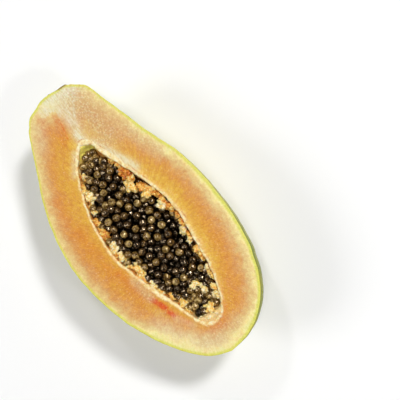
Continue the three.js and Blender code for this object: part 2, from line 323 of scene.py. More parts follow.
class Surface:
    """A material's node tree, built from the texture end to the shader."""

    def __init__(self, name, **constants):
        self.material = bpy.data.materials.new(name)
        self.material.use_nodes = True
        self.nodes = self.material.node_tree.nodes
        self.shader = self.nodes["Principled BSDF"]
        for socket, value in constants.items():
            self.shader.inputs[socket.replace("_", " ")].default_value = value

    def put(self, target, value):
        if isinstance(value, bpy.types.NodeSocket):
            self.material.node_tree.links.new(value, target)
        else:
            target.default_value = value

    def add(self, kind, **inputs):
        """A new node with these values on its inputs, or these outputs linked to them."""
        node = self.nodes.new("ShaderNode" + kind)
        for name, value in inputs.items():
            self.put(node.inputs[name.replace("_", " ")], value)
        return node

    def attribute(self, name, output="Fac"):
        node = self.add("Attribute")
        node.attribute_name = name
        return node.outputs[output]

    def place(self, stretch=(1, 1, 1), source=None):
        """Object coordinates in millimetres, or another vector, stretched."""
        if source is None:
            source = self.add("TexCoord").outputs["Object"]
            stretch = [s / MM for s in stretch]
        return self.add("Mapping", Vector=source, Scale=stretch).outputs["Vector"]

    def noise(self, place, size, detail=3, roughness=0.5, distortion=0):
        """Noise of 0 to 1 with features of about size, in the place's units."""
        return self.add("TexNoise", Vector=place, Scale=1 / size, Detail=detail,
                        Roughness=roughness, Distortion=distortion).outputs["Fac"]

    def cells(self, place, size):
        """Distance from the middle of the nearest of many cells of about this size."""
        return self.add("TexVoronoi", Vector=place, Scale=1 / size).outputs["Distance"]

    def math(self, kind, a, b):
        node = self.add("Math")
        node.operation = kind
        self.put(node.inputs[0], a)
        self.put(node.inputs[1], b)
        return node.outputs[0]

    def plus(self, a, b):
        return self.math("ADD", a, b)

    def minus(self, a, b):
        return self.math("SUBTRACT", a, b)

    def times(self, a, b):
        return self.math("MULTIPLY", a, b)

    def span(self, value, low, high, to_low=0.0, to_high=1.0):
        """A smooth step from to_low to to_high while the value goes from low to high."""
        node = self.add("MapRange", Value=value, From_Min=low, From_Max=high, To_Min=to_low,
                        To_Max=to_high)
        node.interpolation_type = "SMOOTHSTEP"
        return node.outputs["Result"]

    def ramp(self, value, stops):
        """The colour at a value, between stops of position and colour."""
        node = self.add("ValToRGB", Fac=value)
        elements = node.color_ramp.elements
        elements[0].position, elements[0].color = stops[0][0], color(stops[0][1])
        elements.remove(elements[1])
        for position, code in stops[1:]:
            elements.new(position).color = color(code)
        return node.outputs["Color"]

    def mix(self, share, a, b, blend="MIX"):
        """Colour a with this share of colour b over it."""
        node = self.add("Mix", Factor=share)
        node.data_type = "RGBA"
        node.blend_type = blend
        sockets = [s for s in node.inputs if s.type == "RGBA"]
        for socket, value in zip(sockets, (a, b)):
            self.put(socket, color(value) if isinstance(value, str) else value)
        return next(s for s in node.outputs if s.type == "RGBA")

    def bump(self, height, depth, strength=1.0, under=None):
        """depth is the height of the bumps in metres; under is the bumps below these."""
        node = self.add("Bump", Strength=strength, Distance=depth, Height=height)
        if under is not None:
            self.put(node.inputs["Normal"], under)
        return node.outputs["Normal"]

    def finish(self, base=None, roughness=None, normal=None):
        for socket, value in (("Base Color", base), ("Roughness", roughness), ("Normal", normal)):
            if value is not None:
                self.put(self.shader.inputs[socket], value)
        return self.material


# ---- the fruit's shape ----

def depth_below(skin, middle, height):
    """How far below the cut face the CAD model's surface is, met from below or from above."""
    way = Vector((0, 0, 1 if height < 0 else -1))
    depths = []
    for x, y, _ in middle:
        hit = skin.ray_cast(Vector((x, y, height)), way)[0]
        depths.append(TOP - hit.z if hit else 0)
    return np.maximum(blur(np.array(depths), 5), 0)


def fruit_rims():
    """The two sides of the fruit's rim and of the cavity's, each from the stem end on."""
    outer, inner = rings_of_cut_face("papaya_half")[:2]
    fruit = two_sides(outer, SCAR, outer[outer[:, 0].argmax()])
    hollow = two_sides(inner, inner[inner[:, 0].argmin()], inner[inner[:, 0].argmax()])
    return fruit, hollow


def uneven_rim(side):
    """The outer rim with its small unevenness, more of it at the knobbly stem end."""
    x, y = side[:, 0] / MM, side[:, 1] / MM
    shift = np.stack([relief(side, 8 * MM, 2, s) for s in (13, 14)], 1) * 0.3 * MM
    shift *= 1 + 1.2 * smooth_step(-85, -105, x)[:, None]
    for knob_x, knob_y, reach, shift_x, shift_y in STEM_KNOBS:
        near = np.exp(-((x - knob_x) ** 2 + (y - knob_y) ** 2) / reach ** 2)[:, None]
        shift += near * np.array([shift_x, shift_y]) * MM
    ends = np.minimum(np.arange(len(side)), np.arange(len(side))[::-1]) / RIM_END
    side = side.copy()
    side[:, :2] += shift * np.clip(ends, 0, 1)[:, None]
    return side


def cad_surface(node):
    return BVHTree.FromObject(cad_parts[node], bpy.context.evaluated_depsgraph_get())


def skin_grid(right, left, depth):
    """The skin between its two rims, with soft ridges, small waves and the swollen +Y side."""
    turns = np.linspace(0, math.pi, SKIN_TURNS + 1)
    grid = half_ellipses(right, left, depth, turns)
    share = np.linspace(0, 1, ROWS + 1)[:, None]
    fullness = (depth / depth.max())[:, None]
    ridge = LOBE_HEIGHT * fullness * np.sin(turns) * (np.cos(5 * (turns - math.pi / 2)) - 1)
    swell = np.sin(3 * turns) * (1 + np.cos(3 * turns)) * (turns < math.pi / 3)
    bulge = SIDE_BULGE * swell * np.sin(math.pi * share ** 2.4)
    grid[..., :2] += bulge[..., None] * BULGE_WAY
    grid[..., 1] += ridge * np.cos(turns)
    grid[..., 2] -= ridge * np.sin(turns)
    away = np.sin(turns)[None, :] * np.sin(math.pi * share) ** 0.5
    waves = relief(grid, 26 * MM, 2, 1) * 0.45 * MM + relief(grid, 7 * MM, 2, 2) * 0.07 * MM
    grid += grid_normals(grid) * (waves * away)[..., None]
    grid[..., 2] = np.maximum(grid[..., 2], 0)
    return grid


def scar_reach(points):
    """Distance from the middle of the stalk's scar, where 1 is its edge."""
    centre = np.array(SCAR) + np.array([0, 0, TOP])
    return np.linalg.norm((points - centre) * np.array([0.35, 1, 1]), axis=-1) / SCAR_RADIUS


def scar_dent(grid):
    """The stalk's scar: a shallow dish with a raised corky ring round it."""
    reach = scar_reach(grid)
    dish = 0.9 * MM * smooth_step(1.0, 0.75, reach)
    ring = 0.5 * MM * np.exp(-((reach - 1.05) / 0.14) ** 2)
    by_stem = grid[..., 0] < -90 * MM
    grid[..., 0] += np.where(by_stem, dish - ring, 0)
    return grid


def wall_grid(right, left, depth):
    """The cavity's uneven wall between its two rims."""
    turns = math.pi / 2 * (1 - np.cos(np.linspace(0, math.pi, WALL_TURNS + 1)))
    grid = half_ellipses(right, left, depth, turns)
    edge = np.sin(turns)[None, :] ** 0.5
    bumps = relief(grid, 5 * MM, 3, 3) * 0.8 * MM + relief(grid, 1.6 * MM, 2, 4) * 0.2 * MM
    return grid + grid_normals(grid) * (bumps * edge)[..., None]


def loop_of(right, left):
    """Once round a rim: out along the +Y side and back along the -Y side, closed."""
    return np.vstack((right, left[::-1][1:]))


def face_grid(outer, inner):
    """Rings across the cut face, from the skin to the cavity, with both edges rounded over."""
    width = np.linalg.norm(inner - outer, axis=1)
    steps = np.linspace(0, 1, FACE_RINGS)
    steps = 0.35 * steps + 0.65 * (1 - np.cos(math.pi * steps)) / 2
    grid = outer[:, None] + (inner - outer)[:, None] * steps[None, :, None]
    from_skin = width[:, None] * steps
    from_hollow = width[:, None] * (1 - steps)
    grid[..., 2] = TOP
    grid[..., 2] -= EDGE * (1 - np.sqrt(1 - (1 - np.clip(from_skin / EDGE, 0, 1)) ** 2))
    uneven = relief(grid, 9 * MM, 2, 5)
    swell = 0.18 * MM * (1 + uneven) * np.exp(-((from_hollow - 2.2 * MM) / (1.5 * MM)) ** 2)
    fall = LIP * (1 - np.sqrt(np.maximum(1 - (1 - np.clip(from_hollow / LIP, 0, 1)) ** 2, 0)))
    fibres = relief(grid, 2.2 * MM, 2, 6) * 0.12 * MM * smooth_step(0, 3 * MM, from_skin)
    grid[..., 2] += swell - fall + fibres * smooth_step(0, 2 * MM, from_hollow)
    return grid, from_skin, from_hollow, steps[None, :] + 0 * from_skin


def build_fruit(fruit, hollow):
    """Skin, cut face and cavity wall as one mesh, which stands in for the CAD model's half."""
    fruit = [uneven_rim(side) for side in fruit]
    surface = cad_surface("papaya_half")
    fruit_depth = depth_below(surface, (fruit[0] + fruit[1]) / 2, -OUTSIDE)
    hollow_depth = depth_below(surface, (hollow[0] + hollow[1]) / 2, TOP + OUTSIDE)
    outer, inner = loop_of(*fruit), loop_of(*hollow)
    inner[:, :2] += np.stack([relief(inner, 5 * MM, 4, s) for s in (7, 8)], 1) * 0.6 * MM
    inner[-1] = inner[0]
    face, from_skin, from_hollow, share = face_grid(outer, inner)

    skin = scar_dent(skin_grid(*fruit, fruit_depth))
    skin[:, 0] = face[:ROWS + 1, 0]
    skin[:, -1] = face[:ROWS - 1:-1, 0]
    right, left = face[:ROWS + 1, -1], face[:ROWS - 1:-1, -1]
    wall = wall_grid(right, left, np.maximum(hollow_depth - LIP, 0))
    grids = (skin, face, wall)

    verts = np.vstack([g.reshape(-1, 3) for g in grids])
    faces, materials, first = [], [], 0
    for number, grid in enumerate(grids):
        cells = grid_faces(*grid.shape[:2], first)
        faces += cells if number != 0 else [cell[::-1] for cell in cells]
        materials += [number] * len(cells)
        first += grid[..., 0].size
    mesh = bpy.data.meshes.new("papaya_fruit")
    mesh.from_pydata(verts, [], faces)
    mesh.polygons.foreach_set("material_index", materials)

    for name, on_skin, on_face, on_wall in (("from_skin", 0, from_skin / MM, FAR),
                                            ("from_hollow", FAR, from_hollow / MM, 0),
                                            ("share", 0, share, 1)):
        values = (np.full(skin[..., 0].size, on_skin), on_face.ravel(),
                  np.full(wall[..., 0].size, on_wall))
        set_attribute(mesh, name, np.concatenate(values))
    round_rim = np.linspace(0, 1, len(outer))[:, None] * np.ones_like(share)
    grain = np.stack([round_rim * RIM_LENGTH, from_skin / MM, 0 * from_skin], -1)
    grain = np.vstack([g.reshape(-1, 3) for g in (skin / MM, grain, wall / MM)])
    set_attribute(mesh, "grain", grain, "FLOAT_VECTOR")
    shape = bmesh.new()
    shape.from_mesh(mesh)
    bmesh.ops.remove_doubles(shape, verts=shape.verts, dist=WELD)
    bmesh.ops.dissolve_degenerate(shape, edges=shape.edges, dist=WELD / 2)
    bmesh.ops.recalc_face_normals(shape, faces=shape.faces)
    shape.to_mesh(mesh)
    shape.free()
    piece = add_object("papaya_fruit", mesh, ["papaya_half"])
    for material in (skin_material(), flesh_material(), wall_material()):
        mesh.materials.append(material)
    return piece, wall


# ---- pulp ----

def pulp_lump(place, random):
    """One lump of pulp: small swollen grains crowded round a kernel."""
    x, y, length, width, _ = place
    size = np.array([length, width, LUMP_HEIGHT / MM]) * MM / 2
    centre = np.array([x * MM, y * MM, TOP - LUMP_DROP - size[2]])
    shape = bmesh.new()
    for number in range(int(9 + length * width / 4)):
        way = random.normal(0, 1, 3)
        way *= random.uniform(0.5, 0.95) / np.linalg.norm(way)
        scale = random.uniform(0.9, 2.1, 3) * MM
        if number == 0:
            way, scale = way * 0, size * 0.65
        turn = Euler(random.uniform(0, math.pi, 3)).to_matrix() if number else Matrix.Identity(3)
        for v in bmesh.ops.create_icosphere(shape, subdivisions=2, radius=1)["verts"]:
            v.co = Vector(centre + way * size) + turn @ Vector(np.array(v.co) * scale)
    mesh = bpy.data.meshes.new("lump")
    shape.to_mesh(mesh)
    shape.free()
    return mesh


def remeshed(mesh, voxel):
    """The mesh's outer surface as one even skin."""
    holder = bpy.data.objects.new("holder", mesh)
    bpy.context.scene.collection.objects.link(holder)
    modifier = holder.modifiers.new("skin", "REMESH")
    modifier.mode = "VOXEL"
    modifier.voxel_size = voxel
    modifier = holder.modifiers.new("soften", "SMOOTH")
    modifier.iterations = 2
    done = holder.evaluated_get(bpy.context.evaluated_depsgraph_get())
    result = bpy.data.meshes.new_from_object(done)
    bpy.data.objects.remove(holder)
    return result


def build_pulp():
    """All the lumps and shreds as one piece, with creases between their grains."""
    random = np.random.default_rng(PULP_DRAWS)
    verts, faces, warmth, creases_and_shades = [], [], [], []
    for place in PULP_LUMPS + SHREDS:
        mesh = remeshed(pulp_lump(place, random), PULP_VOXEL)
        co = np.array([v.co for v in mesh.vertices])
        normals = np.array([v.normal for v in mesh.vertices])
        grains = np.array([np.diff(noise.voronoi(Vector(p) / GRAIN_SIZE)[0][:2])[0] for p in co])
        # 1 in the creases between grains: they are sunk here, and painted darker as shade in the
        #                                  pulp's material
        crease_and_shade = 1 - np.clip(grains / 0.4, 0, 1)
        height = relief(co, 2.6 * MM, 3, 9) * 0.5 * MM - crease_and_shade * 0.45 * MM
        co += normals * height[:, None]
        co[:, 2] = np.minimum(co[:, 2], TOP)
        creases_and_shades += crease_and_shade.tolist()
        faces += [[len(verts) + i for i in p.vertices] for p in mesh.polygons]
        verts += co.tolist()
        warmth += [place[4]] * len(co)
        bpy.data.meshes.remove(mesh)
    mesh = bpy.data.meshes.new("pulp")
    mesh.from_pydata(verts, [], faces)
    set_attribute(mesh, "warmth", warmth)
    set_attribute(mesh, "crease_and_shade", creases_and_shades)
    mesh.materials.append(pulp_material())
    return add_object("pulp", mesh)


# ---- seeds ----

def seed_shape(random, fineness):
    """A wrinkled egg, about one unit across, as points and faces."""
    shape = bmesh.new()
    bmesh.ops.create_icosphere(shape, subdivisions=fineness, radius=0.5)
    seed = int(random.integers(1, 500))
    for v in shape.verts:
        around = v.co.normalized()
        wrinkle = noise.fractal(around * 2.6 + Vector((seed, 0, 0)), 0.8, 2.0, 2)
        creases_and_shades = 1 - abs(noise.noise(around * 3.4 + Vector((0, seed, 0)))) * 2
        point = 0.03 * around.z ** 2
        v.co += around * (0.022 * wrinkle + 0.028 * creases_and_shades + point)
    co = np.array([v.co for v in shape.verts])
    faces = [[v.index for v in f.verts] for f in shape.faces]
    shape.free()
    return co, faces


def off_axis(co, axis):
    """The sine of the angle between each point's direction and the axis."""
    lengths = np.linalg.norm(co, axis=1) * np.linalg.norm(axis)
    return np.linalg.norm(np.cross(co, axis), axis=1) / lengths


def placed_seed(random, shapes, sizes):
    """A seed's points about its centre, its faces, and its painted light and shade: a paler ring
    round the upper side, from 0 to 1, partly the clear jelly round the seed and partly painted
    light, and a darker band round its sides, painted shade, below 0."""
    co, faces = shapes[int(random.integers(len(shapes)))]
    turn = np.array(Euler(random.uniform(0, 2 * math.pi, 3)).to_matrix())
    co = (co * SEED_SIZE * random.uniform(*sizes)) @ turn.T
    upright = np.array([0, 0, 1])
    away = off_axis(co, upright + random.normal(0, 0.55, 3))
    # paler ring: partly the clear jelly, partly painted light on the seed's upper side
    ring = smooth_step(0.35, 0.62, away) * smooth_step(0.95, 0.76, away)
    # painted shade: darker round the seed's sides
    side_shade = smooth_step(0.8, 1, off_axis(co, upright + random.normal(0, 0.15, 3)))
    return co, faces, random.uniform(0.1, 0.8) * ring - 0.45 * side_shade


def build_named_seeds(random, shapes, material):
    """The seeds of the CAD model, one piece each. Returns their places."""
    places = []
    for name in sorted(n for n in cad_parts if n.startswith("seed_") and n != "seed_bed"):
        low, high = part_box(name)
        centre = np.array((low + high) / 2)
        places.append(centre)
        co, faces, jelly_light_and_shade = placed_seed(random, shapes, NAMED_SIZES)
        mesh = bpy.data.meshes.new(name)
        mesh.from_pydata(co + centre, [], faces)
        set_attribute(mesh, "tone_and_shade", np.full(len(co), seed_tone_and_shade(random, centre)))
        set_attribute(mesh, "jelly_light_and_shade", jelly_light_and_shade)
        mesh.materials.append(material)
        add_object(name.replace("seed_", "papaya_seed_"), mesh, [name])
    return np.array(places)


def heap_level(places):
    """Height of the top seeds' centres at each place on the heap."""
    x, y = places[:, 0] / MM, places[:, 1] / MM
    dips = np.zeros((len(places), 1))
    for dip_x, dip_y, length, width, depth in HEAP_DIPS:
        reach = np.clip(2 * np.hypot((x - dip_x) / length, (y - dip_y) / width), 0, 1)
        dips = np.c_[dips, depth * (1 + np.cos(math.pi * reach)) / 2]
    return TOP - (SEED_LEVEL + SEED_SLOPE * y + dips.max(1)) * MM


def layered_places(random, wall):
    """Rough places for the seeds: layers below the heap's surface, with gaps in the top one."""
    rim = np.vstack((wall[:, 0], wall[::-1, -1]))[:, :2]
    step = SEED_SIZE * TOUCHING
    low, high = rim.min(0), rim.max(0)
    places, layers = [], []
    for layer in range(SEED_LAYERS):
        for i, x in enumerate(np.arange(low[0], high[0], step * ROW_STEP)):
            for y in np.arange(low[1], high[1], step) + (i % 2) * step / 2:
                if in_ring((x, y), rim):
                    places.append((x, y, 0))
                    layers.append(layer)
    places, layers = np.array(places, float), np.array(layers)
    places += random.normal(0, PLACE_SCATTER, places.shape)
    places[:, 2] += heap_level(places) - layers * SEED_SIZE * LAYER_STEP
    gaps = TOP_LAYER_GAPS * (1 - smooth_step(*CROWDED_END, places[:, 0] / MM))
    kept = (layers > 0) | (random.random(len(places)) > gaps)
    return places[kept]


def pack_seeds(random, fixed, wall):
    """Places for the other seeds, pushed away from the named seeds, the wall, the pulp and each
    other. The passes don't clear every overlap: some seeds stay sunk into their neighbours."""
    free = layered_places(random, wall)
    to_fixed = np.linalg.norm(free[:, None] - fixed[None], axis=2).min(1)
    free = free[to_fixed > NAMED_CLEARANCE * SEED_SIZE]
    cloud = wall[::3, ::2].reshape(-1, 3)
    inward = -grid_normals(wall)[::3, ::2].reshape(-1, 3)
    centre = np.array([cloud[:, 0].mean(), 0, TOP])
    inward *= np.sign(((centre - cloud) * inward).sum(1))[:, None]
    radius = SEED_SIZE / 2
    for _ in range(PACKING_PASSES):
        everyone = np.vstack((free, fixed))
        gaps = free[:, None] - everyone[None]
        distance = np.linalg.norm(gaps, axis=2) + 1e-9
        overlap = np.clip(TOUCHING * SEED_SIZE - distance, 0, None)
        overlap[np.arange(len(free)), np.arange(len(free))] = 0
        share = np.where(np.arange(len(everyone)) < len(free), 0.5, 1.0)
        free = free + (gaps / distance[..., None] * (overlap * share)[..., None]).sum(1) * 0.6
        nearest = np.linalg.norm(free[:, None] - cloud[None], axis=2).argmin(1)
        room = ((free - cloud[nearest]) * inward[nearest]).sum(1)
        free += inward[nearest] * np.clip(0.9 * radius - room, 0, None)[:, None]
        for x, y, length, width, _ in PULP_LUMPS:
            size = np.array([length, width, LUMP_HEIGHT / MM]) * MM / 2 + 0.5 * radius
            gap = (free - (x * MM, y * MM, TOP - LUMP_DROP - LUMP_HEIGHT / 2)) / size
            reach = np.linalg.norm(gap, axis=1, keepdims=True)
            push = gap * (1 / np.maximum(reach, 0.2) - 1) * size * 0.5
            free = np.where(reach < 1, free + push, free)
        hills = HEAP_RELIEF * relief(free * (1, 1, 0), 8 * MM, 2, 12)
        surface = heap_level(free) - HEAP_DROP + hills
        free[:, 2] -= np.clip(free[:, 2] - surface, 0, None) * 0.5
    return free


def in_ring(point, ring):
    """Whether the point lies inside the closed ring, seen from above."""
    x, y = point[:2]
    ax, ay = ring.T
    bx, by = np.roll(ring, -1, axis=0).T
    with np.errstate(divide="ignore", invalid="ignore"):
        crosses = ((ay > y) != (by > y)) & (x < ax + (bx - ax) * (y - ay) / (by - ay))
    return crosses.sum() % 2 == 1


def seed_tone_and_shade(random, place):
    """0 for a nearly black seed to 1 for a yellowish one; deeper seeds are painted darker, as shade
    in the heap.
    """
    x, y, z = np.array(place) / MM
    if math.hypot(x - BLACK_SEED[0], y - BLACK_SEED[1]) < SEED_SIZE / MM / 2:
        return 0
    depth = TOP / MM - SEED_LEVEL - SEED_SLOPE * y - z
    clear_depth = 0.6 + 1.2 * smooth_step(50, 62, x)
    # painted shade: the deeper a seed lies below the heap's surface, the darker it is painted
    depth_shade = smooth_step(clear_depth, clear_depth + SEED_SHADE_DEPTH, depth)
    return min(1, 0.2 + 0.95 * random.random()) * (1 - depth_shade)


def seed_cluster(name, places, random, shapes, material):
    """Many seeds as one mesh."""
    verts, faces, tones_and_shades, jelly_lights_and_shades = [], [], [], []
    for place in places:
        co, cells, jelly_light_and_shade = placed_seed(random, shapes, HEAP_SIZES)
        faces += [[len(verts) + i for i in cell] for cell in cells]
        verts += (co + place).tolist()
        tones_and_shades += [seed_tone_and_shade(random, place)] * len(co)
        jelly_lights_and_shades += jelly_light_and_shade.tolist()
    mesh = bpy.data.meshes.new(name)
    mesh.from_pydata(verts, [], faces)
    set_attribute(mesh, "tone_and_shade", tones_and_shades)
    set_attribute(mesh, "jelly_light_and_shade", jelly_lights_and_shades)
    mesh.materials.append(material)
    return mesh


def build_seeds(wall):
    """The named seeds, and round and under them the heap: a finely meshed top, and the rest with
    the one black seed."""
    random = np.random.default_rng(SEED_DRAWS)
    fine = [seed_shape(random, 4) for _ in range(6)]
    middling = [seed_shape(random, 4) for _ in range(8)]
    coarse = [seed_shape(random, 3) for _ in range(4)]
    material = seed_material("papaya_seed_coat", 2.1)
    fixed = build_named_seeds(random, fine, material)
    black = np.array([*BLACK_SEED, 0]) * MM
    black[2] = heap_level(black[None])[0] + BLACK_SEED_RISE
    fixed = np.vstack((fixed, black))
    places = pack_seeds(random, fixed, wall)
    places = places[np.argsort(heap_level(places) - places[:, 2])]
    top, low = places[:VISIBLE_SEEDS], np.vstack((places[VISIBLE_SEEDS:], black))
    mesh = seed_cluster("seed_heap", top, random, middling, material)
    add_object("seed_heap", mesh, ["seed_bed"])
    juicy = seed_material("papaya_seed_juicy", 1.5)
    mesh = seed_cluster("seed_heap_low", low, random, coarse, juicy)
    add_object("seed_heap_low", mesh)


# ---- materials ----

def skin_material():
    """Waxy skin, yellow with green clouds, darker freckles and pores."""
    surface = Surface("papaya_skin", Specular_IOR_Level=0.06, Coat_Weight=0.16, Coat_IOR=2.0,
                      Coat_Roughness=0.24)
    place = surface.place()
    long = surface.place((0.35, 1, 1))
    clouds = surface.noise(long, 34, 4, 0.6, 0.6)
    base = surface.ramp(clouds, [(0.30, "8f9a2e"), (0.42, "a9a834"), (0.52, "c3b73c"),
                                 (0.62, "d2bf45"), (0.75, "dcc552")])
    green = surface.times(surface.attribute("green"), surface.span(clouds, 0.75, 0.4, 0.5, 0.95))
    base = surface.mix(green, base, "69770a")
    mottle = surface.noise(place, 3.2, 4, 0.65, 0.4)
    base = surface.mix(surface.span(mottle, 0.5, 0.72, 0, 0.45), base, "8d9a31")
    patches = surface.span(surface.noise(place, 21, 3, 0.6), 0.40, 0.62)
    freckles = surface.span(surface.noise(place, 1.5, 3, 0.75, 0.8), 0.54, 0.63)
    freckles = surface.times(freckles, surface.times(patches, 0.8))
    base = surface.mix(freckles, base, "4f6a22")
    cork = surface.ramp(surface.noise(place, 1.4, 4, 0.7), [(0.35, "5b4528"), (0.65, "a08a5c")])
    corky = surface.math("MAXIMUM", surface.attribute("scar"), surface.attribute("cork"))
    base = surface.mix(corky, base, cork)
    dots = surface.span(surface.cells(place, 2.6), 0.2, 0.1)
    base = surface.mix(surface.times(dots, 0.35), base, "e3d67c")
    fine = surface.noise(place, 0.5, 3, 0.6)
    normal = surface.bump(fine, 0.05 * MM, 0.6)
    normal = surface.bump(surface.noise(place, 5, 3, 0.5), 0.5 * MM, 0.5, normal)
    roughness = surface.span(surface.noise(place, 6, 3, 0.6), 0.3, 0.7, 0.25, 0.45)
    return surface.finish(base, roughness, normal)


def wet_flesh(name, **constants):
    """A moist surface that lets some light through."""
    return Surface(name, Coat_Weight=0.12, Coat_Roughness=0.2, Specular_IOR_Level=0.35,
                   Subsurface_Weight=0.2, Subsurface_Radius=(1.0, 0.42, 0.16),
                   Subsurface_Scale=2.2 * MM, **constants)


def flesh_material():
    """The cut face: cream under the skin, then peach, then golden towards the cavity's pale lip."""
    surface = wet_flesh("papaya_flesh", Roughness=0.42)
    place = surface.place()
    grain = surface.attribute("grain", "Vector")
    from_skin = surface.attribute("from_skin")
    from_hollow = surface.attribute("from_hollow")

    fibres = surface.noise(surface.place((1, 0.2, 1), grain), 1.5, 4, 0.65, 0.3)
    dashes = surface.noise(surface.place((1, 0.4, 1), grain), 0.8, 2, 0.5)
    blotches = surface.noise(place, 7, 4, 0.6, 0.5)
    across = surface.attribute("ripeness")
    for noise_value, strength in ((fibres, 0.24), (blotches, 0.45)):
        across = surface.plus(across, surface.times(surface.minus(noise_value, 0.5), strength))
    base = surface.ramp(across, [
        (0.00, "ece398"), (0.07, "f4e49c"), (0.13, "e8d08c"), (0.20, "e2c582"), (0.31, "dbae6c"),
        (0.42, "d89c56"), (0.54, "d99740"), (0.68, "dba238"), (0.80, "e0ae3e"), (0.90, "e6ba54"),
        (1.00, "f0ce84"),
    ])
    blush = surface.times(surface.attribute("blush"), surface.span(blotches, 0.35, 0.6, 0.4, 1))
    base = surface.mix(blush, base, "d86a12")
    base = surface.mix(surface.span(blush, 0.6, 1.1, 0, 0.95), base, "d65204")
    moist = surface.attribute("moist")
    base = surface.mix(surface.times(moist, 0.7), base, "dcbb85")
    pale = surface.times(surface.attribute("pale"), surface.span(fibres, 0.3, 0.6, 0.6, 1))
    base = surface.mix(pale, base, "e2d0a8")
    threads = surface.noise(surface.place((0.2, 1, 1)), 1.2, 4, 0.6, 0.4)
    core = surface.times(surface.attribute("core"), surface.span(threads, 0.3, 0.6, 0.75, 1))
    base = surface.mix(core, base, surface.ramp(threads, [(0.35, "dacf9f"), (0.58, "ebe6c8")]))
    ragged = surface.noise(place, 3.5, 3, 0.6)
    edge = surface.minus(surface.plus(from_hollow, surface.times(ragged, 2.4)),
                        surface.attribute("lip"))
    crease = surface.times(surface.span(edge, -0.2, 0.4), surface.span(edge, 1.5, 0.6))
    crease = surface.times(crease, surface.span(blotches, 0.46, 0.62, 0, 0.8))
    base = surface.mix(crease, base, "c4702a")
    lip_color = surface.ramp(surface.noise(place, 3, 4, 0.6),
                             [(0.34, "e2b266"), (0.48, "f3dc9e"), (0.64, "fbf2c8")])
    base = surface.mix(surface.span(edge, 1.4, -1.2, 0, 0.9), base, lip_color)
    rind = surface.span(surface.plus(from_skin, surface.times(fibres, 0.9)), 3.4, 1.3)
    base = surface.mix(surface.times(rind, 0.9), base, "d8d552")
    base = surface.mix(surface.attribute("cork"), base, "6d5b38")
    speckle = surface.noise(place, 0.8, 2, 0.6)
    mottle = surface.noise(place, 2.6, 3, 0.6)
    tones = surface.plus(surface.times(speckle, 0.4), surface.times(mottle, 0.3))
    tones = surface.plus(tones, surface.times(fibres, 0.3))
    base = surface.mix(1.0, base, surface.span(tones, 0.38, 0.62, 0.4, 0.6), "OVERLAY")
    base = surface.mix(surface.span(dashes, 0.58, 0.74, 0, 0.35), base, "fbe8c0")

    drops = surface.cells(place, 1.6)
    gaps = surface.times(moist, surface.span(drops, 0.4, 0.75, 0, 0.45))
    base = surface.mix(gaps, base, "c98d52")
    drops = surface.times(moist, surface.span(drops, 0.5, 0.1))
    base = surface.mix(surface.times(drops, 0.4), base, "f8ecc6")
    normal = surface.bump(speckle, 0.16 * MM, 0.6)
    normal = surface.bump(fibres, 0.3 * MM, 0.5, normal)
    normal = surface.bump(drops, 0.5 * MM, 0.8, normal)
    normal = surface.bump(blotches, 0.9 * MM, 0.35, normal)
    roughness = surface.span(surface.noise(place, 2.4, 3, 0.6), 0.3, 0.7, 0.3, 0.55)
    return surface.finish(base, roughness, normal)


def wall_material():
    """The cavity's lining: golden orange, torn and stringy, pale yellow-green at the stem end,
    partly its colour and partly a painted pool of light.
    """
    surface = wet_flesh("papaya_lining", Roughness=0.35)
    place = surface.place()
    lumps = surface.noise(place, 4, 4, 0.65, 0.8)
    base = surface.ramp(lumps, [(0.3, "c06a26"), (0.45, "dd8f3a"), (0.58, "ecb65e"),
                                (0.75, "f7dfa0")])
    # stem end: pale yellow-green, partly the lining's colour, partly painted light on a wall that
    # lies in shade
    base = surface.mix(surface.times(surface.attribute("tip_colour_and_light"), 0.95), base, "f6e66c")
    base = surface.mix(surface.times(surface.attribute("end"), 0.6), base, "f1dfa0")
    strings = surface.noise(surface.place((0.3, 1, 1)), 1.0, 4, 0.7, 0.6)
    base = surface.mix(surface.span(strings, 0.55, 0.75, 0, 0.6), base, "f6e6b4")
    normal = surface.bump(strings, 0.5 * MM, 0.8)
    normal = surface.bump(lumps, 1.4 * MM, 0.6, normal)
    return surface.finish(base, None, normal)


def pulp_material():
    """Torn pulp: cream grains to yellow and orange flesh, a warmth for each lump, with painted
    shade darkening their creases.
    """
    surface = wet_flesh("papaya_pulp", Roughness=0.3)
    place = surface.place()
    lumps = surface.noise(place, 2.4, 4, 0.65, 0.5)
    warmth = surface.attribute("warmth")
    tone = surface.plus(lumps, surface.times(surface.minus(0.5, warmth), 0.36))
    # painted shade: darker and more orange-brown in the creases between grains
    tone = surface.minus(tone, surface.times(surface.attribute("crease_and_shade"), 0.16))
    base = surface.ramp(tone, [(0.10, "944412"), (0.22, "d07624"), (0.33, "eaa848"),
                               (0.43, "f2c862"), (0.54, "f8e09a"), (0.72, "fcf2d2")])
    fine = surface.noise(place, 0.7, 3, 0.7)
    normal = surface.bump(fine, 0.2 * MM, 0.7)
    return surface.finish(base, None, normal)


